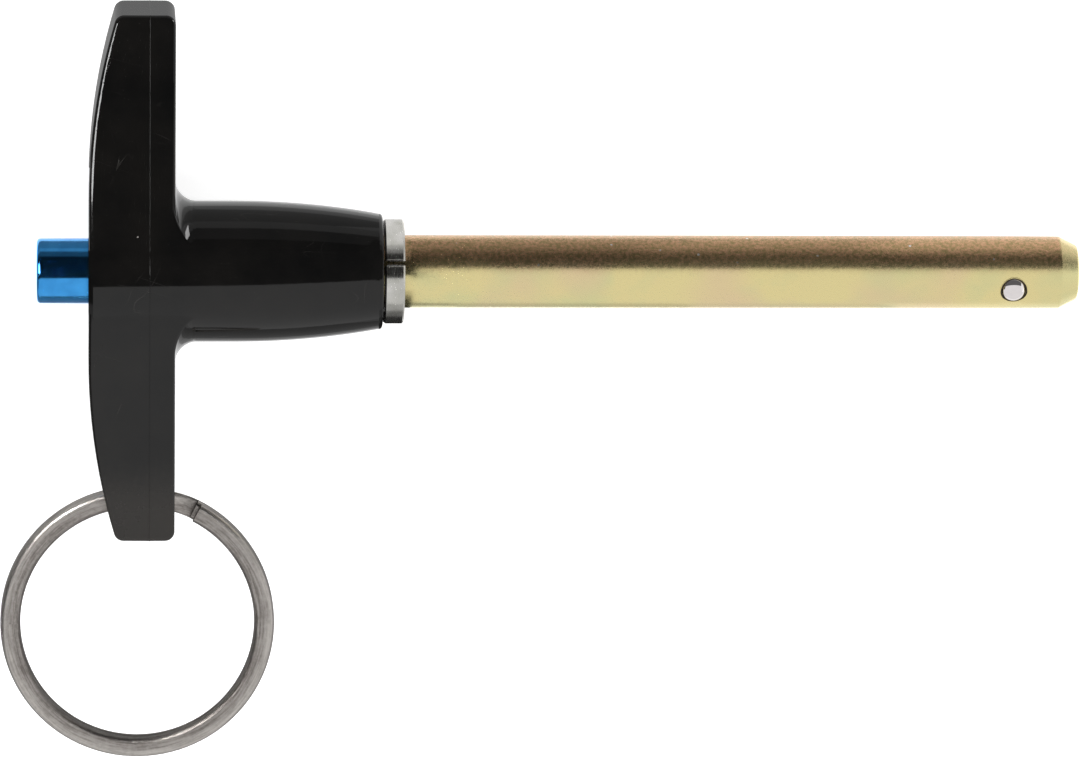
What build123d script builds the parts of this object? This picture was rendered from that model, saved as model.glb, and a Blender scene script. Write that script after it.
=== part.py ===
from build123d import *
from math import acos, asin, cos, degrees, radians, sin, tan
import os

# Ball lock pin with a T-handle, in millimetres. Pressing the button in the back of the handle
# pushes a spindle down the hollow shank, and two balls near the tip drop into its groove.
#
# X runs along the pin towards the tip, Y along the T-handle and Z up as the pin lies. X is 0 at
# the shoulder: the front face of the retaining ring, which the held work bears against.

# Shank: a turned steel body, hollow, with a wide head at the back that stays in the handle.
shank_radius = 3.175  # quarter inch pin
shank_reach = 59.0  # shoulder to tip
grip_length = 51.9  # parallel part of the shank in front of the shoulder
nose_relief = 0.02  # radius lost from the end of the grip to the nose chamfer
nose_chamfer_length = 1.6
nose_chamfer_depth = 0.8
nose_edge = 0.3
bore_radius = 1.6
bore_end_wall = 1.1
head_radius = 4.5
head_length = 12.1
head_recess = 0.25  # head below the handle's back face
spring_well_depth = 11.1

# Retaining ring: a split steel ring closed into a groove of the shank, in front of the handle.
ring_width = 1.75
ring_radius = 4.55
ring_groove_depth = 0.425
ring_seam = 0.4
ring_seam_angle = 20.0  # from up (+Z) towards +Y
ring_chamfer = 0.15

# Handle: one die casting, a bowed bar that tapers in depth and a barrel that covers the shank.
bar_length = 46.3
bar_width = 7.5  # along X, in the middle
bar_flat = 14.0  # straight middle of the back face
bar_bow_radius = 55.0  # back face outside its straight middle
bar_depth_middle = 11.1
bar_depth_end = 9.0
bar_corner = 0.85
bar_edge = 0.4
parting_setback = 2.2  # parting line of the casting, behind the bar's front face
draft_angle = 1.5
barrel_length = 18.05
barrel_radius = 6.15
barrel_straight = 5.4  # from the bar's front face to where the barrel starts to curve in
barrel_curve_radius = 70.0
barrel_edge = 0.3
barrel_back_edge = 0.4
root_fillet = 2.0  # barrel into the bar's front face
flare_sink = 0.03  # flare of the root meets the barrel just under its surface
crease_fillet = 1.1  # barrel into the bar's flanks
ring_hole_radius = 1.75
ring_hole_setback = 2.8  # from the end of the bar

# Button and spindle: the button is pressed on to the tenon at the back of the spindle.
button_radius = 2.85
button_reach = 4.5  # past the handle's back face
button_length = 7.4
button_edge = 0.35
button_front_chamfer = 0.2
tenon_radius = 1.1
tenon_length = 4.5
press_stroke = 2.8
spindle_head_length = 0.8
cam_angle = 15.0
land_lead = 0.1  # land behind the middle of the locked balls
groove_spare = 0.09  # groove behind the released balls
spring_wire = 0.45
spring_radius = 2.2  # to the middle of the wire
spring_turns = 6

# Locking balls: 3/32 inch, in radial holes whose mouths are closed in over them.
ball_radius = 1.19
ball_setback = 5.8  # from the tip to the balls
ball_protrusion = 0.505
ball_drop = 0.52  # from locked to released
ball_angle = -20.5  # upper ball, from up (+Z) towards +Y
mouth_radius = 1.03
mouth_flare_radius = 1.22

# Key ring: a flat strip wound twice round, which steps from one turn to the next.
key_ring_radius = 12.0
key_ring_x = -23.1  # middle of the ring
strip_width = 1.75
strip_height = 0.98
strip_edge = 0.47
coil_gap = 0.04
step_angle = 26.0  # part of a turn that the strip takes to step across
step_place = 62.0  # where the upper turn ends, from +X round the ring's middle
key_ring_tilt = 1.8  # far side of the ring below the handle's middle
end_gap = 0.3
wire_play = 0.2  # strip from the middle of its hole, towards the pin

# Fits, all radial or along the axis.
slide_clearance = 0.05
seat_clearance = 0.02
axial_clearance = 0.1
ball_clearance = 0.03
cam_clearance = 0.04

# Places along the pin.
handle_front = -(ring_width + axial_clearance)
bar_front = handle_front - barrel_length
bar_back = bar_front - bar_width
parting_x = bar_front - parting_setback
head_back = bar_back + head_recess
head_front = head_back + head_length
spring_seat = head_back + spring_well_depth
button_back = bar_back - button_reach
button_front = button_back + button_length
ball_x = shank_reach - ball_setback
bar_half = bar_length / 2

# Ball and cam radii from the pin's axis.
ball_locked = shank_radius + ball_protrusion - ball_radius
land_radius = ball_locked - ball_radius - cam_clearance
release_radius = ball_locked - ball_drop - ball_radius - cam_clearance
spindle_radius = bore_radius - slide_clearance


def toward(angle):
    """Unit direction square to the pin, turned by angle from up (+Z) towards +Y."""
    return Vector(0, sin(radians(angle)), cos(radians(angle)))


os.makedirs("parts", exist_ok=True)

# The handle starts as the bar and the flare at the barrel's root, cut to the drafted flanks.
flank_slope = (bar_depth_middle - bar_depth_end) / bar_length
flank_draft = tan(radians(draft_angle))
bow_angle = degrees(asin((bar_half - bar_flat / 2) / bar_bow_radius))
flare_front = bar_front + root_fillet
flare_radius = barrel_radius + root_fillet - flare_sink

with BuildPart() as handle:
    with BuildSketch() as bar_outline:
        with BuildLine():
            back = Line((bar_back, -bar_flat / 2), (bar_back, bar_flat / 2))
            upper_bow = JernArc(back @ 1, (0, 1), bar_bow_radius, -bow_angle)
            lower_bow = JernArc(back @ 0, (0, -1), bar_bow_radius, bow_angle)
            Polyline(upper_bow @ 1, (bar_front, bar_half), (bar_front, -bar_half), lower_bow @ 1)
        make_face()
        ends = bar_outline.vertices().group_by(Axis.Y)
        fillet(ends[0] + ends[-1], radius=bar_corner)
    extrude(amount=bar_depth_middle, both=True)

    with BuildSketch() as flare_profile:
        with BuildLine():
            Polyline((parting_x, 0), (parting_x, flare_radius), (bar_front, flare_radius))
            flare = CenterArc((flare_front, flare_radius), root_fillet, 180, 90)
            Polyline(flare @ 1, (flare_front, 0), (parting_x, 0))
        make_face()
    revolve(axis=Axis.X)

    for up in (1, -1):
        for along in (1, -1):
            for out in (1, -1):
                flank = Plane(
                    origin=(parting_x, 0, up * bar_depth_middle / 2),
                    x_dir=(1, 0, -up * out * flank_draft),
                    z_dir=(out * flank_draft, along * flank_slope, up),
                )
                split(bisect_by=flank, keep=Keep.BOTTOM)
    bowed_edges = handle.edges().filter_by(GeomType.ELLIPSE).sort_by(SortBy.LENGTH)[-4:]
    fillet(bowed_edges, radius=bar_edge)

    with BuildSketch() as barrel_profile:
        with BuildLine():
            axis_line = Line((bar_back, 0), (handle_front, 0))
            back_end = Line(axis_line @ 0, (bar_back, barrel_radius))
            straight = Line(back_end @ 1, (bar_front + barrel_straight, barrel_radius))
            curve_run = barrel_length - barrel_straight
            curve_angle = degrees(asin(curve_run / barrel_curve_radius))
            curve = JernArc(straight @ 1, (1, 0), barrel_curve_radius, -curve_angle)
            Line(curve @ 1, axis_line @ 1)
        make_face()
        rims = barrel_profile.vertices().group_by(Axis.X)
        chamfer(rims[0].sort_by(Axis.Y)[-1], length=barrel_back_edge)
        fillet(rims[-1].sort_by(Axis.Y)[-1], radius=barrel_edge)
    revolve(axis=Axis.X)
    creases = handle.edges().filter_by(GeomType.ELLIPSE).filter_by(
        lambda edge: abs(edge.center().Y) < barrel_radius * 0.6 and edge.length > 2
    )
    fillet(creases, radius=crease_fillet)

    with BuildSketch(Plane.YZ.offset(bar_back)):
        Circle(head_radius + seat_clearance)
    extrude(amount=head_front - bar_back, mode=Mode.SUBTRACT)
    with BuildSketch(Plane.YZ.offset(handle_front)):
        Circle(shank_radius + seat_clearance)
    extrude(amount=-barrel_length, mode=Mode.SUBTRACT)
    with BuildSketch(Plane.YZ.offset(bar_front)):
        with Locations((-bar_half + ring_hole_setback, 0)):
            Circle(ring_hole_radius)
    extrude(amount=-bar_width, mode=Mode.SUBTRACT)
handle.part.label = "handle"
export_step(handle.part, "parts/handle.step")

# The shank, with the spring's well in its head, a blind bore for the spindle, the groove for the
# retaining ring and the holes for the balls.
nose_radius = shank_radius - nose_relief
nose_start = shank_reach - nose_chamfer_length
groove_radius = shank_radius - ring_groove_depth
bore_end = shank_reach - bore_end_wall

with BuildPart() as shank:
    with BuildSketch() as shank_profile:
        with BuildLine():
            Polyline(
                (head_back, 0),
                (head_back, head_radius),
                (head_front, head_radius),
                (head_front, shank_radius),
                (-ring_width - seat_clearance, shank_radius),
                (-ring_width - seat_clearance, groove_radius),
                (0, groove_radius),
                (0, shank_radius),
                (grip_length, shank_radius),
                (nose_start, nose_radius),
                (shank_reach, nose_radius - nose_chamfer_depth),
                (shank_reach, 0),
                close=True,
            )
        make_face()
        nose_rim = shank_profile.vertices().group_by(Axis.X)[-1].sort_by(Axis.Y)[-1]
        fillet(nose_rim, radius=nose_edge)
    revolve(axis=Axis.X)
    with BuildSketch(Plane.YZ.offset(head_back)):
        Circle(button_radius + slide_clearance)
    extrude(amount=spring_well_depth, mode=Mode.SUBTRACT)
    with BuildSketch(Plane.YZ.offset(head_back)):
        Circle(bore_radius)
    extrude(amount=bore_end - head_back, mode=Mode.SUBTRACT)

    # Each ball hole is straight up to the locked ball, closes over it and flares at the surface.
    seat_radius = ball_radius + ball_clearance
    mouth_angle = degrees(acos(mouth_radius / seat_radius))
    for turn in (0, 180):
        out = toward(ball_angle + turn)
        hole_plane = Plane(origin=(ball_x, 0, 0), x_dir=(1, 0, 0), z_dir=Vector(1, 0, 0).cross(out))
        with BuildSketch(hole_plane) as hole_profile:
            with BuildLine():
                Polyline((0, 0), (seat_radius, 0), (seat_radius, ball_locked))
                lip = CenterArc((0, ball_locked), seat_radius, 0, mouth_angle)
                flare_top = shank_radius + ball_clearance
                Polyline(lip @ 1, (mouth_flare_radius, flare_top), (0, flare_top), (0, 0))
            make_face()
        revolve(axis=Axis((ball_x, 0, 0), out), mode=Mode.SUBTRACT)
shank.part.label = "shank"
export_step(shank.part, "parts/shank.step")

# The retaining ring, split along its axis.
with BuildPart() as retaining_ring:
    with BuildSketch(Plane.YZ):
        Circle(ring_radius)
        Circle(groove_radius + seat_clearance, mode=Mode.SUBTRACT)
    extrude(amount=-ring_width)
    rims = retaining_ring.edges().filter_by(GeomType.CIRCLE).group_by(SortBy.RADIUS)[-1]
    chamfer(rims, length=ring_chamfer)
    seam_way = toward(ring_seam_angle)
    seam_plane = Plane(origin=(0, 0, 0), x_dir=(1, 0, 0), z_dir=seam_way)
    with BuildSketch(seam_plane):
        Rectangle(3 * ring_width, ring_seam)
    extrude(amount=2 * ring_radius, mode=Mode.SUBTRACT)
retaining_ring.part.label = "retaining_ring"
export_step(retaining_ring.part, "parts/retaining_ring.step")

# The spindle: tenon, rod, release groove, cam, locking land and the head that stops at the balls.
head_reach = (ball_radius**2 - (ball_locked - spindle_radius) ** 2) ** 0.5 + ball_clearance
groove_reach = (ball_radius**2 - (ball_locked - ball_drop - spindle_radius) ** 2) ** 0.5
groove_back = ball_x - press_stroke - groove_reach - groove_spare
cam_top = ball_x - land_lead
cam_foot = cam_top - (land_radius - release_radius) / tan(radians(cam_angle))
land_front = ball_x + head_reach
tenon_back = button_front - tenon_length

with BuildPart() as spindle:
    with BuildSketch():
        with BuildLine():
            Polyline(
                (tenon_back, 0),
                (tenon_back, tenon_radius),
                (button_front, tenon_radius),
                (button_front, spindle_radius),
                (groove_back, spindle_radius),
                (groove_back, release_radius),
                (cam_foot, release_radius),
                (cam_top, land_radius),
                (land_front, land_radius),
                (land_front, spindle_radius),
                (land_front + spindle_head_length, spindle_radius),
                (land_front + spindle_head_length, 0),
                close=True,
            )
        make_face()
    revolve(axis=Axis.X)
spindle.part.label = "spindle"
export_step(spindle.part, "parts/spindle.step")

# The button, a turned aluminium cap with a blind hole for the tenon.
with BuildPart() as button:
    with BuildSketch(Plane.YZ.offset(button_back)):
        Circle(button_radius)
    extrude(amount=button_length)
    fillet(button.edges().group_by(Axis.X)[0], radius=button_edge)
    chamfer(button.edges().group_by(Axis.X)[-1], length=button_front_chamfer)
    with BuildSketch(Plane.YZ.offset(button_front)):
        Circle(tenon_radius)
    extrude(amount=-tenon_length, mode=Mode.SUBTRACT)
button.part.label = "button"
export_step(button.part, "parts/button.step")

# The return spring, with one closed turn at each end.
closed_pitch = spring_wire + seat_clearance
spring_height = spring_seat - button_front - spring_wire - 2 * seat_clearance
active_height = spring_height - 2 * closed_pitch
spring_start = button_front + spring_wire / 2 + seat_clearance

with BuildPart() as return_spring:
    with BuildLine() as spring_path:
        reached = spring_start
        for pitch, height in (
            (closed_pitch, closed_pitch),
            (active_height / spring_turns, active_height),
            (closed_pitch, closed_pitch),
        ):
            Helix(pitch, height, spring_radius, center=(reached, 0, 0), direction=(1, 0, 0))
            reached += height
    with BuildSketch(Plane(origin=spring_path.wire() @ 0, z_dir=spring_path.wire() % 0)):
        Circle(spring_wire / 2)
    sweep(path=spring_path.wire())
return_spring.part.label = "return_spring"
export_step(return_spring.part, "parts/return_spring.step")

# The two locking balls, shown locked.
for ball_name, turn in (("locking_ball_upper", 0), ("locking_ball_lower", 180)):
    with BuildPart() as locking_ball:
        with Locations(Vector(ball_x, 0, 0) + toward(ball_angle + turn) * ball_locked):
            Sphere(ball_radius)
    locking_ball.part.label = ball_name
    export_step(locking_ball.part, f"parts/{ball_name}.step")

# The key ring lies in its own plane, tilted about the middle of the hole that it passes through.
coil_radius = key_ring_radius - strip_width / 2
coil_level = (strip_height + coil_gap) / 2
hole_middle = Vector(key_ring_x, -bar_half + ring_hole_setback, 0)
ring_way = -toward(90 + key_ring_tilt)
ring_plane = Plane(
    origin=hole_middle + ring_way * (coil_radius - wire_play),
    x_dir=(1, 0, 0),
    z_dir=Vector(1, 0, 0).cross(-ring_way),
)
end_angle = degrees(end_gap / coil_radius)
turn_angle = 360 - step_angle - end_angle
lower_start = step_place + step_angle + 2 * end_angle
step_start = lower_start + turn_angle
upper_start = step_start + step_angle


def step_point(share):
    """Point of the strip's middle line part way along the step from the lower turn to the upper."""
    angle = radians(step_start + share * step_angle)
    level = coil_level * (6 * share**2 - 4 * share**3 - 1)
    return (coil_radius * cos(angle), coil_radius * sin(angle), level)


def strip_at(angle, level):
    """Plane of the strip's section, at an angle round the ring and a height in its plane."""
    way = (-sin(radians(angle)), cos(radians(angle)), 0)
    place = (coil_radius * cos(radians(angle)), coil_radius * sin(radians(angle)), level)
    return Plane(ring_plane * Plane(origin=place, x_dir=(0, 0, 1), z_dir=way))


with BuildPart() as key_ring:
    for start, level in ((lower_start, -coil_level), (upper_start, coil_level)):
        with BuildSketch(strip_at(start, level)):
            RectangleRounded(strip_height, strip_width, strip_edge)
        revolve(axis=Axis(ring_plane.origin, ring_plane.z_dir), revolution_arc=turn_angle)
    lower_end = strip_at(step_start, -coil_level)
    upper_end = strip_at(upper_start, coil_level)
    with BuildLine() as step_path:
        Spline(
            *[ring_plane.from_local_coords(step_point(share)) for share in (0, 0.25, 0.5, 0.75, 1)],
            tangents=(lower_end.z_dir, upper_end.z_dir),
        )
    with BuildSketch(lower_end):
        RectangleRounded(strip_height, strip_width, strip_edge)
    sweep(path=step_path.wire(), normal=ring_plane.z_dir)
key_ring.part.label = "key_ring"
export_step(key_ring.part, "parts/key_ring.step")
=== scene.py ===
from math import cos, pi, radians, sin

import bpy
from mathutils import Matrix, Vector


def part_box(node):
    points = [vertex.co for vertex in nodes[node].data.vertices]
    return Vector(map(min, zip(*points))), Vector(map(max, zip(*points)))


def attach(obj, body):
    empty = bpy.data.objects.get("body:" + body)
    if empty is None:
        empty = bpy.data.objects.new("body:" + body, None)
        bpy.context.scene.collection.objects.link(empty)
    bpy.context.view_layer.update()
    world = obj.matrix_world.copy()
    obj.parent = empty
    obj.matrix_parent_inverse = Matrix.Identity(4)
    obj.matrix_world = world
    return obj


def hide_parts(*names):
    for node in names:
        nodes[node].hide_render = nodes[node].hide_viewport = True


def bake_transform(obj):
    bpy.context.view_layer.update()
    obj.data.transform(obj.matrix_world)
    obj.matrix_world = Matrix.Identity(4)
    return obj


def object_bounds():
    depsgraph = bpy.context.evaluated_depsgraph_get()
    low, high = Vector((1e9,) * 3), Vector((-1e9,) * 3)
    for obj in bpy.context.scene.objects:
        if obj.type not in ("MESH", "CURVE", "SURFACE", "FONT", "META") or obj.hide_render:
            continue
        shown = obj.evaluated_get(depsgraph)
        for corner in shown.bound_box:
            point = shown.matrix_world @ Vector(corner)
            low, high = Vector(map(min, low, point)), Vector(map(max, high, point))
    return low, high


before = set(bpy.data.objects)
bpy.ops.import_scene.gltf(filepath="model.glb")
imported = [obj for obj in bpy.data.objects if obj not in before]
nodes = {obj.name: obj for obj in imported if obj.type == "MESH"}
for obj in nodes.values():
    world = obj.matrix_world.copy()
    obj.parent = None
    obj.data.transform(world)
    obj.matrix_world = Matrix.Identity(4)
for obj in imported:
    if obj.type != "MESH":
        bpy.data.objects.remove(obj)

cad_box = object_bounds()
mm = 0.001

# Shank: turned and ground steel, zinc plated and dipped in yellow chromate. The film shows straw
# yellow below, grainy and mottled, and handling has nicked it. The copper and salmon on top is a
# painted sheen, standing in for the film's iridescence on its upper side.
shank_radius = 6.35 / 2 * mm
straw = "#e9da9f"
straw_green = "#dcd7a0"
straw_pink = "#e6cfa4"
salmon = "#d9ab86"
olive = "#a18e62"
nick_bright = "#e8e4df"
plating_grain = 0.3 * mm  # coarser than the real grain, so that it shows
film_patch = 5 * mm
sheen_turn = 0.5 * mm
sheen_turn_low = 0.2 * mm
sheen_turn_high = 2.1 * mm
nose_start = 57.2 * mm
nose_end = 57.5 * mm
nick_size = 0.22 * mm
nick_gap = 7 * nick_size
nick_depth = 0.03 * mm
smooth_depth = 0.002 * mm


def colour(code):
    """sRGB hex code as linear colour with alpha."""
    parts = [int(code[i : i + 2], 16) / 255 for i in (1, 3, 5)]
    linear = [c / 12.92 if c <= 0.04045 else ((c + 0.055) / 1.055) ** 2.4 for c in parts]
    return (*linear, 1.0)


def new_material(name):
    """Empty material with a Principled shader wired to its output."""
    material = bpy.data.materials.new(name)
    material.use_nodes = True
    tree = material.node_tree
    tree.nodes.clear()
    output = tree.nodes.new("ShaderNodeOutputMaterial")
    shader = tree.nodes.new("ShaderNodeBsdfPrincipled")
    tree.links.new(shader.outputs["BSDF"], output.inputs["Surface"])
    return material, tree, shader


def feed(tree, node, **links):
    """Puts values or links on a node's inputs, given by name, or by number after an underscore."""
    for key, value in links.items():
        socket = node.inputs[int(key[1:])] if key[1:].isdigit() else node.inputs[key.replace("_", " ")]
        if isinstance(value, bpy.types.NodeSocket):
            tree.links.new(value, socket)
        else:
            socket.default_value = value


def add(tree, kind, settings=None, **links):
    """Node of a kind, with settings on it and values or links on its inputs."""
    node = tree.nodes.new("ShaderNode" + kind)
    for key, value in (settings or {}).items():
        setattr(node, key, value)
    feed(tree, node, **links)
    return node


def dress(name, material):
    """Gives a CAD node its material."""
    mesh = nodes[name].data
    mesh.materials.clear()
    mesh.materials.append(material)


rgba = {"data_type": "RGBA"}
chromate, tree, shader = new_material("yellow_chromated_zinc_plate")
place = add(tree, "TexCoord").outputs["Object"]
across = add(tree, "SeparateXYZ", Vector=place).outputs
grain = add(tree, "TexNoise", Vector=place, Scale=1 / plating_grain, Detail=3.0, Roughness=0.7).outputs["Fac"]

# Straw film with greener and pinker patches.
patch = add(tree, "TexNoise", Vector=place, Scale=1 / film_patch, Detail=3.0, Roughness=0.55).outputs["Fac"]
patch_2 = add(tree, "TexNoise", {"noise_dimensions": "4D"}, Vector=place, W=4.0, Scale=0.6 / film_patch,
              Detail=2.0).outputs["Fac"]
greener = add(tree, "MapRange", Value=patch, From_Min=0.45, From_Max=0.65).outputs[0]
pinker = add(tree, "MapRange", Value=patch_2, From_Min=0.48, From_Max=0.68).outputs[0]
film_and_sheen = add(tree, "Mix", rgba, _0=greener, _6=colour(straw), _7=colour(straw_green)).outputs[2]
film_and_sheen = add(tree, "Mix", rgba, _0=pinker, _6=film_and_sheen, _7=colour(straw_pink)).outputs[2]

# Painted sheen: a coppery tint on the upper side, weaker on the nose, stands in for the film's iridescence.
sway = add(tree, "Math", {"operation": "MULTIPLY_ADD"}, _0=patch, _1=2 * sheen_turn, _2=-sheen_turn).outputs[0]
height = add(tree, "Math", {"operation": "ADD"}, _0=across["Y"], _1=sway).outputs[0]
upper = add(tree, "MapRange", {"interpolation_type": "SMOOTHSTEP"}, Value=height, From_Min=sheen_turn_low,
            From_Max=sheen_turn_high).outputs[0]
nose = add(tree, "MapRange", Value=across["X"], From_Min=nose_start, From_Max=nose_end, To_Min=1.0,
           To_Max=0.4).outputs[0]
upper = add(tree, "Math", {"operation": "MULTIPLY"}, _0=upper, _1=nose).outputs[0]
mottle = add(tree, "MapRange", Value=grain, From_Min=0.37, From_Max=0.63).outputs[0]
coppery_sheen = add(tree, "Mix", rgba, _0=mottle, _6=colour(olive), _7=colour(salmon)).outputs[2]
film_and_sheen = add(tree, "Mix", rgba, _0=upper, _6=film_and_sheen, _7=coppery_sheen).outputs[2]

# Nicks: a ragged spot in about two of three cells, on the upper side.
cells = add(tree, "TexVoronoi", Vector=place, Scale=1 / nick_gap, Randomness=1.0)
picked = add(tree, "SeparateColor", Color=cells.outputs["Color"]).outputs["Red"]
picked = add(tree, "Math", {"operation": "GREATER_THAN"}, _0=picked, _1=0.35).outputs[0]
ragged = add(tree, "Math", {"operation": "MULTIPLY_ADD"}, _0=grain, _1=0.12, _2=cells.outputs["Distance"])
nick = add(tree, "Math", {"operation": "LESS_THAN"}, _0=ragged.outputs[0], _1=0.13).outputs[0]
nick = add(tree, "Math", {"operation": "MULTIPLY"}, _0=nick, _1=picked).outputs[0]
nick = add(tree, "Math", {"operation": "MULTIPLY"}, _0=nick, _1=upper).outputs[0]
film_and_sheen = add(tree, "Mix", rgba, _0=nick, _6=film_and_sheen, _7=colour(nick_bright)).outputs[2]

rough = add(tree, "MapRange", Value=grain, From_Min=0.3, From_Max=0.7, To_Min=0.2, To_Max=0.32).outputs[0]
relief = add(tree, "Math", {"operation": "MULTIPLY_ADD"}, _0=nick, _1=-1.0, _2=grain).outputs[0]
depth = add(tree, "MapRange", Value=upper, To_Min=smooth_depth, To_Max=nick_depth).outputs[0]
bump = add(tree, "Bump", Height=relief, Distance=depth).outputs["Normal"]
feed(tree, shader, Base_Color=film_and_sheen, Metallic=1.0, Roughness=rough, Normal=bump)
dress("shank", chromate)

# Retaining ring: a split collar of plain steel sprung into a groove of the shank. It is turned, so
# its grain runs round it, and its two ends meet in a slit.
collar_grain = 0.07 * mm
collar_stretch = 0.12
collar_stain = 1.6 * mm
collar_steel = "#d8d6d2"
collar_shade = "#bfbeb7"
grain_depth = 0.004 * mm

turned_steel, tree, shader = new_material("turned_steel")
place = add(tree, "TexCoord").outputs["Object"]
turned = (1 / collar_grain, collar_stretch / collar_grain, collar_stretch / collar_grain)
along = add(tree, "Mapping", Vector=place, Scale=turned).outputs["Vector"]
grain = add(tree, "TexNoise", Vector=along, Scale=1.0, Detail=4.0, Roughness=0.6).outputs["Fac"]
stain = add(tree, "TexNoise", Vector=place, Scale=1 / collar_stain, Detail=4.0).outputs["Fac"]
shade = add(tree, "MapRange", Value=stain, From_Min=0.35, From_Max=0.65).outputs[0]
metal = add(tree, "Mix", rgba, _0=shade, _6=colour(collar_shade), _7=colour(collar_steel)).outputs[2]
rough = add(tree, "MapRange", Value=grain, From_Min=0.3, From_Max=0.7, To_Min=0.2, To_Max=0.36).outputs[0]
bump = add(tree, "Bump", Height=grain, Distance=grain_depth).outputs["Normal"]
feed(tree, shader, Base_Color=metal, Metallic=1.0, Roughness=rough, Normal=bump)
dress("retaining_ring", turned_steel)

# Burrs: the saw that slit the ring left a thin rolled edge of the same steel along each side of the
# slit. Each stops just short of the ring's two faces and is sunk a little into it.
slit_angle = 20
slit_half = 0.2 * mm
burr_radius = 0.085 * mm
burr_sink = 0.02 * mm
burr_end_gap = 0.15 * mm
collar_low, collar_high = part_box("retaining_ring")
collar_outside = collar_high.y - burr_sink


def deselect_all():
    """Leaves nothing selected, so that an operator acts on the new piece alone."""
    for other in bpy.context.selected_objects:
        other.select_set(False)


for side, name in ((-1, "slit_burr_lower"), (1, "slit_burr_upper")):
    angle = radians(slit_angle) + side * (slit_half + burr_radius / 2) / collar_outside
    spot = ((collar_low.x + collar_high.x) / 2, collar_outside * sin(angle), collar_outside * cos(angle))
    length = collar_high.x - collar_low.x - 2 * burr_end_gap
    deselect_all()
    bpy.ops.mesh.primitive_cylinder_add(vertices=16, radius=burr_radius, depth=length, location=spot,
                                        rotation=(0, pi / 2, 0))
    burr = bpy.context.object
    burr.name = name
    bpy.ops.object.mode_set(mode="EDIT")
    bpy.ops.mesh.select_all(action="SELECT")
    bpy.ops.mesh.bevel(offset=burr_radius * 0.4, segments=3)
    bpy.ops.object.mode_set(mode="OBJECT")
    bpy.ops.object.shade_smooth_by_angle(angle=radians(40))
    bpy.ops.object.transform_apply(location=True, rotation=True, scale=True)
    burr.data.materials.append(turned_steel)
    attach(burr, "handle")

# Handle: one zinc die casting, coated all over in gloss black enamel. The coat levels to a mirror
# with a faint orange peel, and takes hairlines and chips in use. Towards the lower end of the T-bar
# it is a lighter, warmer grey.
enamel_black = "#0b0b0b"
enamel_haze = "#121110"
enamel_low_grey = "#2b2825"
enamel_chip = "#6d6a66"
haze_size = 6 * mm
peel_size = 1.4 * mm
peel_depth = 0.0035 * mm
grit_size = 0.35 * mm
hairline_gap = 2.2 * mm
hairline_stretch = 0.1
hairline_patch = 4 * mm
hairline_band = 0.0018
chip_gap = 3.2 * mm
wear_depth = 0.02 * mm
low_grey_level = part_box("handle")[0].y + 4.5 * mm
low_grey_fade = 5 * mm
low_grey_ragged = 3 * mm

enamel, tree, shader = new_material("gloss_black_enamel")
place = add(tree, "TexCoord").outputs["Object"]
haze = add(tree, "TexNoise", Vector=place, Scale=1 / haze_size, Detail=6.0, Roughness=0.6).outputs["Fac"]
haze = add(tree, "MapRange", Value=haze, From_Min=0.35, From_Max=0.65).outputs[0]
coat = add(tree, "Mix", rgba, _0=haze, _6=colour(enamel_black), _7=colour(enamel_haze)).outputs[2]

# Lighter, warmer grey towards the lower end of the T-bar, with a ragged upper edge.
grit = add(tree, "TexNoise", Vector=place, Scale=1 / grit_size, Detail=4.0, Roughness=0.7).outputs["Fac"]
level = add(tree, "SeparateXYZ", Vector=place).outputs["Y"]
level = add(tree, "Math", {"operation": "MULTIPLY_ADD"}, _0=grit, _1=low_grey_ragged, _2=level).outputs[0]
low_grey = add(tree, "MapRange", {"interpolation_type": "SMOOTHSTEP"}, Value=level, From_Min=low_grey_level,
             From_Max=low_grey_level + low_grey_fade, To_Min=0.5, To_Max=0.0).outputs[0]
coat = add(tree, "Mix", rgba, _0=low_grey, _6=coat, _7=colour(enamel_low_grey)).outputs[2]

# Hairlines: where a stretched field passes its middle, in two directions, broken up in patches.
hairlines = 0.0
for turn, seed in ((0.3, 1.0), (1.9, 7.0)):
    way = add(tree, "Mapping", Vector=place, Rotation=(0, 0, turn)).outputs["Vector"]
    stretch = (1 / hairline_gap, hairline_stretch / hairline_gap, 1 / hairline_gap)
    way = add(tree, "Mapping", Vector=way, Scale=stretch).outputs["Vector"]
    field = add(tree, "TexNoise", {"noise_dimensions": "4D"}, Vector=way, W=seed, Scale=1.0, Detail=1.0)
    line = add(tree, "Math", {"operation": "COMPARE"}, _0=field.outputs["Fac"], _1=0.5, _2=hairline_band)
    hairlines = add(tree, "Math", {"operation": "MAXIMUM"}, _0=line.outputs[0], _1=hairlines).outputs[0]
broken = add(tree, "TexNoise", Vector=place, Scale=1 / hairline_patch, Detail=2.0).outputs["Fac"]
broken = add(tree, "MapRange", Value=broken, From_Min=0.56, From_Max=0.7).outputs[0]
hairlines = add(tree, "Math", {"operation": "MULTIPLY"}, _0=hairlines, _1=broken).outputs[0]

# Chips: a ragged spot in about one of three cells.
cells = add(tree, "TexVoronoi", Vector=place, Scale=1 / chip_gap, Randomness=1.0)
picked = add(tree, "SeparateColor", Color=cells.outputs["Color"]).outputs["Red"]
picked = add(tree, "Math", {"operation": "GREATER_THAN"}, _0=picked, _1=0.7).outputs[0]
ragged = add(tree, "Math", {"operation": "MULTIPLY_ADD"}, _0=grit, _1=0.05, _2=cells.outputs["Distance"])
chips = add(tree, "Math", {"operation": "LESS_THAN"}, _0=ragged.outputs[0], _1=0.055).outputs[0]
chips = add(tree, "Math", {"operation": "MULTIPLY"}, _0=chips, _1=picked).outputs[0]
worn = add(tree, "Math", {"operation": "MULTIPLY_ADD", "use_clamp": True}, _0=hairlines, _1=0.08,
           _2=chips).outputs[0]
coat = add(tree, "Mix", rgba, _0=worn, _6=coat, _7=colour(enamel_chip)).outputs[2]

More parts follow.
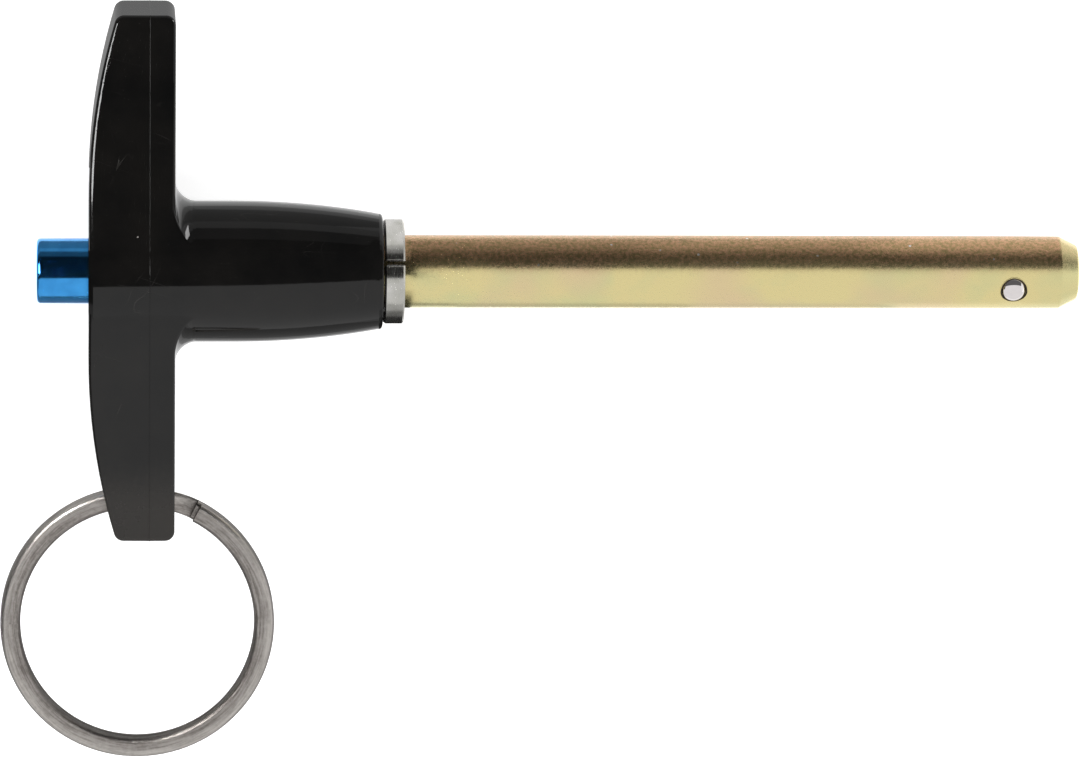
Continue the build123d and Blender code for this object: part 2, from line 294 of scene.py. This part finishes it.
rough = add(tree, "MapRange", Value=haze, To_Min=0.05, To_Max=0.11).outputs[0]
rough = add(tree, "Math", {"operation": "MULTIPLY_ADD"}, _0=low_grey, _1=0.4, _2=rough).outputs[0]
rough = add(tree, "Math", {"operation": "MULTIPLY_ADD"}, _0=worn, _1=0.4, _2=rough).outputs[0]
peel = add(tree, "TexNoise", Vector=place, Scale=1 / peel_size, Detail=2.0).outputs["Fac"]
bump = add(tree, "Bump", Height=peel, Distance=peel_depth).outputs["Normal"]
bump = add(tree, "Bump", Height=worn, Distance=-wear_depth, Normal=bump).outputs["Normal"]
feed(tree, shader, Base_Color=coat, IOR=1.42, Roughness=rough, Normal=bump)
dress("handle", enamel)

# Parting line: where the two halves of the die met, a thin fin of metal stands proud all round the
# T-bar. It was left on, and the enamel has covered it.
fin_radius = 0.045 * mm
parting_x = -22.1 * mm
fin_offset = 0.01 * mm
pocket_reach = 5.2 * mm
ring_hole = Vector((-20.35, 0)) * mm
ring_hole_reach = 2.2 * mm
weld_gap = 0.0005 * mm


def copy_of(node, name):
    """Mesh of a CAD node in an object of its own, with its doubles merged."""
    deselect_all()
    obj = bpy.data.objects.new(name, nodes[node].data.copy())
    bpy.context.scene.collection.objects.link(obj)
    bpy.context.view_layer.objects.active = obj
    obj.select_set(True)
    bpy.ops.object.mode_set(mode="EDIT")
    bpy.ops.mesh.select_all(action="SELECT")
    bpy.ops.mesh.remove_doubles(threshold=weld_gap)
    bpy.ops.object.mode_set(mode="OBJECT")
    return obj


def bead(obj, radius, material):
    """Turns the active object's edges into a bead that swells and thins a little along its run."""
    bpy.ops.object.convert(target="CURVE")
    obj = bpy.context.object
    obj.data.bevel_depth = radius
    obj.data.bevel_resolution = 2
    for spline in obj.data.splines:
        for i, point in enumerate(spline.points):
            point.radius = 0.75 + 0.25 * sin(0.7 * i) * sin(0.23 * i + 1)
    bpy.ops.object.convert(target="MESH")
    obj = bpy.context.object
    bpy.ops.object.shade_smooth()
    obj.data.materials.clear()
    obj.data.materials.append(material)
    return obj


fin = copy_of("handle", "parting_fin")
bpy.ops.object.mode_set(mode="EDIT")
bpy.ops.mesh.select_all(action="SELECT")
bpy.ops.mesh.bisect(plane_co=(parting_x + fin_offset, 0, 0), plane_no=(1, 0, 0), clear_inner=True,
                    clear_outer=True)
bpy.ops.mesh.select_all(action="DESELECT")
bpy.ops.object.mode_set(mode="OBJECT")
# The cut also runs round the head's pocket and the key ring's hole, where no fin stands.
for vertex in fin.data.vertices:
    spot = Vector((vertex.co.y, vertex.co.z))
    vertex.select = spot.length < pocket_reach or (spot - ring_hole).length < ring_hole_reach
bpy.ops.object.mode_set(mode="EDIT")
bpy.ops.mesh.delete(type="VERT")
bpy.ops.object.mode_set(mode="OBJECT")
fin = bead(fin, fin_radius, enamel)
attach(fin, "handle")

# Return spring, spindle: stainless spring wire and a centreless ground stainless rod, both inside.
# The wire has its drawn skin, and the rod a fine grain round it.
rod_grain = mm / 12  # coarser than the real grain, so that it shows
rod_stretch = 0.075
rod_grey = "#a9a8a5"
rod_bright = "#c6c4c0"

ground_steel, tree, shader = new_material("ground_stainless_steel")
place = add(tree, "TexCoord").outputs["Object"]
ground = (1 / rod_grain, rod_stretch / rod_grain, rod_stretch / rod_grain)
along = add(tree, "Mapping", Vector=place, Scale=ground).outputs["Vector"]
grain = add(tree, "TexNoise", Vector=along, Scale=1.0, Detail=4.0).outputs["Fac"]
metal = add(tree, "Mix", rgba, _0=grain, _6=colour(rod_grey), _7=colour(rod_bright)).outputs[2]
rough = add(tree, "MapRange", Value=grain, To_Min=0.18, To_Max=0.34).outputs[0]
feed(tree, shader, Base_Color=metal, Metallic=1.0, Roughness=rough)
dress("spindle", ground_steel)
dress("return_spring", ground_steel)

coil = copy_of("return_spring", "spring_coil")
bpy.ops.object.shade_smooth()
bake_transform(coil)
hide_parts("return_spring")

# Button: aluminium, turned with a rounded rim and anodised blue. The dye lies in a clear oxide, so
# it shines as tinted metal, and fine turning lines run round it.
anodised_blue = "#4aa9f1"
anodised_deep = "#429be3"
turning_pitch = 0.09 * mm
turning_stretch = 0.05
turning_depth = 0.0015 * mm
cloud_size = 1.5 * mm

anodised, tree, shader = new_material("blue_anodised_aluminium")
place = add(tree, "TexCoord").outputs["Object"]
turned = (1 / turning_pitch, turning_stretch / turning_pitch, turning_stretch / turning_pitch)
along = add(tree, "Mapping", Vector=place, Scale=turned).outputs["Vector"]
lines = add(tree, "TexNoise", Vector=along, Scale=1.0, Detail=3.0).outputs["Fac"]
cloud = add(tree, "TexNoise", Vector=place, Scale=1 / cloud_size, Detail=3.0).outputs["Fac"]
shade = add(tree, "MapRange", Value=cloud, From_Min=0.35, From_Max=0.65).outputs[0]
dye = add(tree, "Mix", rgba, _0=shade, _6=colour(anodised_deep), _7=colour(anodised_blue)).outputs[2]
rough = add(tree, "MapRange", Value=lines, From_Min=0.3, From_Max=0.7, To_Min=0.1, To_Max=0.2).outputs[0]
bump = add(tree, "Bump", Height=lines, Distance=turning_depth).outputs["Normal"]
feed(tree, shader, Base_Color=dye, Metallic=1.0, Roughness=rough, Normal=bump)
dress("button", anodised)

# Locking balls: hardened stainless steel, lapped to a mirror, one each side of the tip. Oil leaves a
# faint smear on them.
ball_grey = "#e2dcdc"
ball_bright = "#f0ebea"
smear_size = 0.5 * mm

lapped, tree, shader = new_material("lapped_bearing_steel")
place = add(tree, "TexCoord").outputs["Object"]
smear = add(tree, "TexNoise", Vector=place, Scale=1 / smear_size, Detail=4.0).outputs["Fac"]
metal = add(tree, "Mix", rgba, _0=smear, _6=colour(ball_grey), _7=colour(ball_bright)).outputs[2]
rough = add(tree, "MapRange", Value=smear, To_Min=0.015, To_Max=0.07).outputs[0]
feed(tree, shader, Base_Color=metal, Metallic=1.0, Roughness=rough)
dress("locking_ball_upper", lapped)
dress("locking_ball_lower", lapped)

# Staking: a ring punch closed the mouth of each ball's hole over the ball and pushed up a bright lip
# round it. The dark groove next to the ball is a painted shadow: a flat near-black ring on the shank.
groove_inside = 1.03 * mm
groove_outside = 1.18 * mm
groove_proud = 0.008 * mm
groove_shadow_dark = "#15120f"
groove_shadow_brown = "#3a3020"
shadow_mottle_size = 0.3 * mm
lip_radius = 0.055 * mm
lip_middle = groove_outside + lip_radius / 2

groove_shadow_material, tree, shader = new_material("painted_groove_shadow")
place = add(tree, "TexCoord").outputs["Object"]
shadow_mottle = add(tree, "TexNoise", Vector=place, Scale=1 / shadow_mottle_size, Detail=3.0).outputs["Fac"]
metal = add(tree, "Mix", rgba, _0=shadow_mottle, _6=colour(groove_shadow_dark), _7=colour(groove_shadow_brown)).outputs[2]
feed(tree, shader, Base_Color=metal, Metallic=0.6, Roughness=0.45)


def lay_round(obj, ball, radius):
    """Lays a flat ring on the shank, round that ball's hole and that far off the pin's axis."""
    low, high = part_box(ball)
    middle = (low + high) / 2
    out = Vector((0, middle.y, middle.z)).normalized()
    aside = out.cross(Vector((1, 0, 0)))
    for vertex in obj.data.vertices:
        along, across = vertex.co.x, vertex.co.y
        rise = (radius**2 - across**2) ** 0.5
        vertex.co = Vector((middle.x + along, 0, 0)) + aside * across + out * rise


# Round each ball: a flat near-black ring as the groove's painted shadow, and a bead for the lip.
for where in ("upper", "lower"):
    ball = "locking_ball_" + where
    deselect_all()
    bpy.ops.mesh.primitive_circle_add(vertices=72, radius=groove_inside)
    groove_shadow_ring = bpy.context.object
    groove_shadow_ring.name = "painted_groove_shadow_ring_" + where
    bpy.ops.object.mode_set(mode="EDIT")
    bpy.ops.mesh.extrude_edges_move()
    bpy.ops.transform.resize(value=(groove_outside / groove_inside,) * 3)
    bpy.ops.object.mode_set(mode="OBJECT")
    lay_round(groove_shadow_ring, ball, shank_radius + groove_proud)
    groove_shadow_ring.data.materials.append(groove_shadow_material)
    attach(groove_shadow_ring, "handle")

    deselect_all()
    bpy.ops.mesh.primitive_circle_add(vertices=72, radius=lip_middle)
    lip = bpy.context.object
    lip.name = "staked_lip_" + where
    lay_round(lip, ball, shank_radius)
    lip = bead(lip, lip_radius, chromate)
    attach(lip, "handle")

# Key ring: flattened stainless wire coiled to two turns, then tumbled. It is dull warm grey, with
# drawing lines that run along the wire and dark and bright rubbed streaks.
ring_low, ring_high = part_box("key_ring")
ring_middle = (ring_low + ring_high) / 2
ring_grey = "#c1bcb7"
ring_dark = "#78726e"
ring_outside = 12 * mm
wire_half = 1.75 / 2 * mm
wire_middle = (ring_high.x - ring_low.x) / 2 - wire_half
wire_crown = 0.12 * mm
streak_width = 0.16 * mm
streak_length = 3.5 * mm
streak_depth = 0.02 * mm
stain_size = 0.4 * mm

tumbled, tree, shader = new_material("tumbled_stainless_wire")
place = add(tree, "TexCoord").outputs["Object"]

# Round the ring, out from its middle and up: the wire's own directions, in streaks.
centred = add(tree, "Mapping", Vector=place, Location=-ring_middle)
parts = add(tree, "SeparateXYZ", Vector=centred.outputs["Vector"]).outputs
angle = add(tree, "Math", {"operation": "ARCTAN2"}, _0=parts["Y"], _1=parts["X"]).outputs[0]
flat = add(tree, "CombineXYZ", X=parts["X"], Y=parts["Y"])
reach = add(tree, "VectorMath", {"operation": "LENGTH"}, _0=flat.outputs[0]).outputs["Value"]
run = add(tree, "Math", {"operation": "MULTIPLY"}, _0=angle, _1=ring_outside / streak_length).outputs[0]
out = add(tree, "Math", {"operation": "MULTIPLY"}, _0=reach, _1=1 / streak_width).outputs[0]
up = add(tree, "Math", {"operation": "MULTIPLY"}, _0=parts["Z"], _1=1 / streak_width).outputs[0]
wire = add(tree, "CombineXYZ", X=out, Y=run, Z=up).outputs[0]

streak = add(tree, "TexNoise", Vector=wire, Scale=1.0, Detail=4.0, Roughness=0.65).outputs["Fac"]
stain = add(tree, "TexNoise", Vector=place, Scale=1 / stain_size, Detail=4.0, Roughness=0.7).outputs["Fac"]
mixed = add(tree, "Math", {"operation": "MULTIPLY_ADD"}, _0=stain, _1=0.4, _2=streak).outputs[0]
shade = add(tree, "MapRange", Value=mixed, From_Min=0.54, From_Max=0.84).outputs[0]

# Painted light: the outer half of the wire's face is painted brighter, as shading across its crowned face;
# the crown itself is a bump.
aside = add(tree, "Math", {"operation": "SUBTRACT"}, _0=reach, _1=wire_middle).outputs[0]
aside = add(tree, "Math", {"operation": "DIVIDE"}, _0=aside, _1=wire_half).outputs[0]
crown = add(tree, "Math", {"operation": "MULTIPLY"}, _0=aside, _1=aside).outputs[0]
streaks_and_painted_light = add(tree, "MapRange", Value=aside, From_Min=-0.2, From_Max=0.7, To_Max=0.6).outputs[0]
streaks_and_painted_light = add(tree, "Math", {"operation": "MULTIPLY_ADD", "use_clamp": True}, _0=shade, _1=0.6,
             _2=streaks_and_painted_light).outputs[0]
metal = add(tree, "Mix", rgba, _0=streaks_and_painted_light, _6=colour(ring_dark), _7=colour(ring_grey)).outputs[2]
rough = add(tree, "MapRange", Value=streak, From_Min=0.3, From_Max=0.7, To_Min=0.42, To_Max=0.28).outputs[0]
bump = add(tree, "Bump", Height=mixed, Distance=streak_depth).outputs["Normal"]
bump = add(tree, "Bump", Height=crown, Distance=-wire_crown, Normal=bump).outputs["Normal"]
feed(tree, shader, Base_Color=metal, Metallic=1.0, Roughness=rough, Normal=bump)
dress("key_ring", tumbled)

# Floor: a matt white board that the pin lies over, a hair below it. What the camera and the gloss
# see of the board is lifted to white, and it keeps the pin's shadow.
floor_size = 3.0
floor_level = cad_box[0].z - 0.02 * mm
floor_grey = "#d0d0d0"
floor_lift = 0.72
white = (1, 1, 1, 1)


def seen_by_camera_or_gloss(tree):
    """Value of 1 for rays from the camera and for mirrored rays, and 0 for all other rays."""
    ray = add(tree, "LightPath").outputs
    camera_ray, glossy_ray = ray["Is Camera Ray"], ray["Is Glossy Ray"]
    return add(tree, "Math", {"operation": "ADD", "use_clamp": True}, _0=camera_ray, _1=glossy_ray).outputs[0]


deselect_all()
bpy.ops.mesh.primitive_plane_add(size=floor_size, location=(0, 0, floor_level))
floor = bpy.context.object
floor.name = "floor"
board, tree, shader = new_material("white_board")
seen = seen_by_camera_or_gloss(tree)
lift = add(tree, "Math", {"operation": "MULTIPLY"}, _0=seen, _1=floor_lift).outputs[0]
feed(tree, shader, Base_Color=colour(floor_grey), Roughness=0.9, Emission_Color=white, Emission_Strength=lift)
floor.data.materials.append(board)

# World: a plain white studio, where the camera and the gloss look past the board. It is dimmer as a
# light on the pin.
studio_light = 0.45

world = bpy.data.worlds.new("studio")
bpy.context.scene.world = world
world.use_nodes = True
tree = world.node_tree
seen = seen_by_camera_or_gloss(tree)
strength = add(tree, "MapRange", Value=seen, To_Min=studio_light, To_Max=1.0).outputs[0]
feed(tree, tree.nodes["Background"], Color=white, Strength=strength)

# Lights: two large soft boxes above the pin, on the side of the key ring and on the other. Their own
# mirror image is hidden, because the cards below draw the reflections.
soft_box_size = (1.4, 0.9)

for name, spot, watts in (("soft_box_near", (0.0, -0.45, 0.6), 7.5), ("soft_box_far", (0.0, 0.45, 0.6), 5.0)):
    data = bpy.data.lights.new(name, "AREA")
    data.shape = "RECTANGLE"
    data.size, data.size_y = soft_box_size
    data.energy = watts
    box = bpy.data.objects.new(name, data)
    bpy.context.scene.collection.objects.link(box)
    box.location = spot
    box.rotation_euler = (-Vector(spot)).to_track_quat("-Z", "Y").to_euler()
    box.visible_glossy = False

# Cards bent over the pin: white, grey and black, seen by its gloss alone. The white one hangs on the
# key ring's side, and its edge draws the horizon along the handle. Angles are in degrees off straight
# up, towards +Y.
card_steps = 12
handle_reach = 60 * mm
shank_reach = 15 * mm
collar_reach = 5.6 * mm
far_ends = (-100 * mm, 120 * mm)
white_low = -97
horizon_back = -27
horizon_front = 13
black_top = 62
grey_top = 82
pale_top = 97
shank_ends = (1.2 * mm, 80 * mm)
collar_back = -2 * mm


def light_card(obj, level):
    """Gives a card its even light, which only the gloss sees."""
    material, tree, shader = new_material(obj.name)
    feed(tree, shader, Base_Color=(0, 0, 0, 1), Specular_IOR_Level=0, Emission_Color=white,
         Emission_Strength=level)
    material.cycles.emission_sampling = "NONE"
    obj.data.materials.append(material)
    obj.visible_camera = False
    obj.visible_diffuse = False
    obj.visible_shadow = False
    obj.visible_transmission = False


def bent_card(name, ends, angles, reach, level):
    """Card bent about the pin between two angles, or between a pair of them at each end."""
    bpy.ops.mesh.primitive_grid_add(x_subdivisions=1, y_subdivisions=card_steps, size=2)
    obj = bpy.context.object
    obj.name = name
    for vertex in obj.data.vertices:
        end = 0 if vertex.co.x < 0 else 1
        share = (vertex.co.y + 1) / 2
        low, high = angles[end] if isinstance(angles[end], tuple) else angles
        angle = radians(low + (high - low) * share)
        vertex.co = (ends[end], reach * sin(angle), reach * cos(angle))
    light_card(obj, level)


under_horizon = ((white_low, horizon_back), (white_low, horizon_front))
over_horizon = ((horizon_back, black_top), (horizon_front, black_top))
bent_card("white_card_handle", far_ends, under_horizon, handle_reach, 0.85)
bent_card("black_card_handle", far_ends, over_horizon, handle_reach, 0.015)
bent_card("grey_card_handle", far_ends, (black_top, grey_top), handle_reach, 0.12)
bent_card("pale_card_handle", far_ends, (grey_top, pale_top), handle_reach, 0.45)

# Over the shank the dark cards grow lighter towards the nose.
bent_card("white_card_shank", shank_ends, (-100, 20), shank_reach, 0.85)
for x_from, x_to, black, dark, grey in (
    (1.2, 22, 0.1, 0.2, 0.4),
    (22, 42, 0.115, 0.27, 0.55),
    (42, 80, 0.12, 0.4, 0.8),
):
    ends = (x_from * mm, x_to * mm)
    bent_card(f"black_card_shank_{x_to}", ends, (20, 62), shank_reach, black)
    bent_card(f"dark_card_shank_{x_to}", ends, (62, 80), shank_reach, dark)
    bent_card(f"grey_card_shank_{x_to}", ends, (80, 105), shank_reach, grey)

# Close over the collar they reach further forward on the key ring's side than on the other.
for front, bands in (
    (0.8 * mm, ((-130, -63, 0.03), (-63, -49, 0.2), (-49, -36, 0.5), (-36, 2, 0.8))),
    (0.2 * mm, ((2, 35, 0.03), (35, 41, 0.25), (41, 47, 0.55), (47, 125, 0.88))),
):
    for low, high, level in bands:
        bent_card(f"collar_card_{high}", (collar_back, front), (low, high), collar_reach, level)

# Flat cards: mats laid on the board on both sides of the pin, white, and grey beside the handle, which
# the edges of its gloss mirror. Two black cards stand behind the handle and beside the neck, and two
# bright ones draw the glints on the back of the T-bar and in its root. All places are in mm.
mat_level = floor_level / mm + 0.05
mat_inside = 8
mat_outside = 60


def flat_card(name, corners, level):
    """Flat card with those four corners, given round it."""
    bpy.ops.mesh.primitive_plane_add(size=1)
    obj = bpy.context.object
    obj.name = name
    for vertex, corner in zip(obj.data.vertices, (corners[0], corners[1], corners[3], corners[2])):
        vertex.co = Vector(corner) * mm
    light_card(obj, level)


for side, where in ((-1, "near"), (1, "far")):
    for x_from, x_to, y_from, y_to, level in (
        (-100, -20, mat_inside, mat_outside, 0.3),
        (-20, 5, mat_inside, 11, 1.0),
        (-20, 5, 11, 15, 0.55),
        (-20, 5, 15, mat_outside, 0.3),
        (5, 26, mat_inside, mat_outside, 0.6),
        (26, 44, mat_inside, mat_outside, 0.75),
        (44, 120, mat_inside, mat_outside, 1.0),
    ):
        corners = ((x_from, y_from), (x_to, y_from), (x_to, y_to), (x_from, y_to))
        flat_card(f"mat_{where}_{x_to}_{y_from}", [(x, side * y, mat_level) for x, y in corners], level)
flat_card("black_card_end", ((-99, -60, -6), (-99, 60, -6), (-99, 60, 60), (-99, -60, 60)), 0.03)
flat_card("black_card_neck", ((1.2, -1, 6), (1.2, 15, 6), (1.2, 15, 15), (1.2, -1, 15)), 0.03)
flat_card("lamp_card_left", ((-44, 2, 50), (-72, 2, 50), (-100, 46, 50), (-68, 46, 50)), 18.0)
flat_card("lamp_card_root", ((14, 44, -6), (40, 44, -6), (40, 44, 12), (14, 44, 12)), 8.0)

# Camera: a long lens over the pin, a little behind its middle and on the far side of the T-handle,
# turned so that the shank lies level.
camera_place = Vector((-27.5, 126, 650)) * mm
camera_aim = Vector((12.06, -9.58, 0)) * mm
camera_roll = 0.743
camera_lens = 253.3333
sensor_width = 36

camera = bpy.data.objects.new("camera", bpy.data.cameras.new("camera"))
bpy.context.scene.collection.objects.link(camera)
camera.data.lens = camera_lens
camera.data.sensor_width = sensor_width
camera.data.clip_start = 0.01
camera.data.clip_end = 10
way = (camera_aim - camera_place).normalized()
right = way.cross(Vector((0, 1, 0))).normalized()
axes = Matrix((right, right.cross(way), -way)).transposed()
roll = Matrix.Rotation(radians(camera_roll), 3, -way)
camera.matrix_world = Matrix.Translation(camera_place) @ (roll @ axes).to_4x4()
bpy.context.scene.camera = camera
bpy.context.scene.view_settings.view_transform = "Standard"
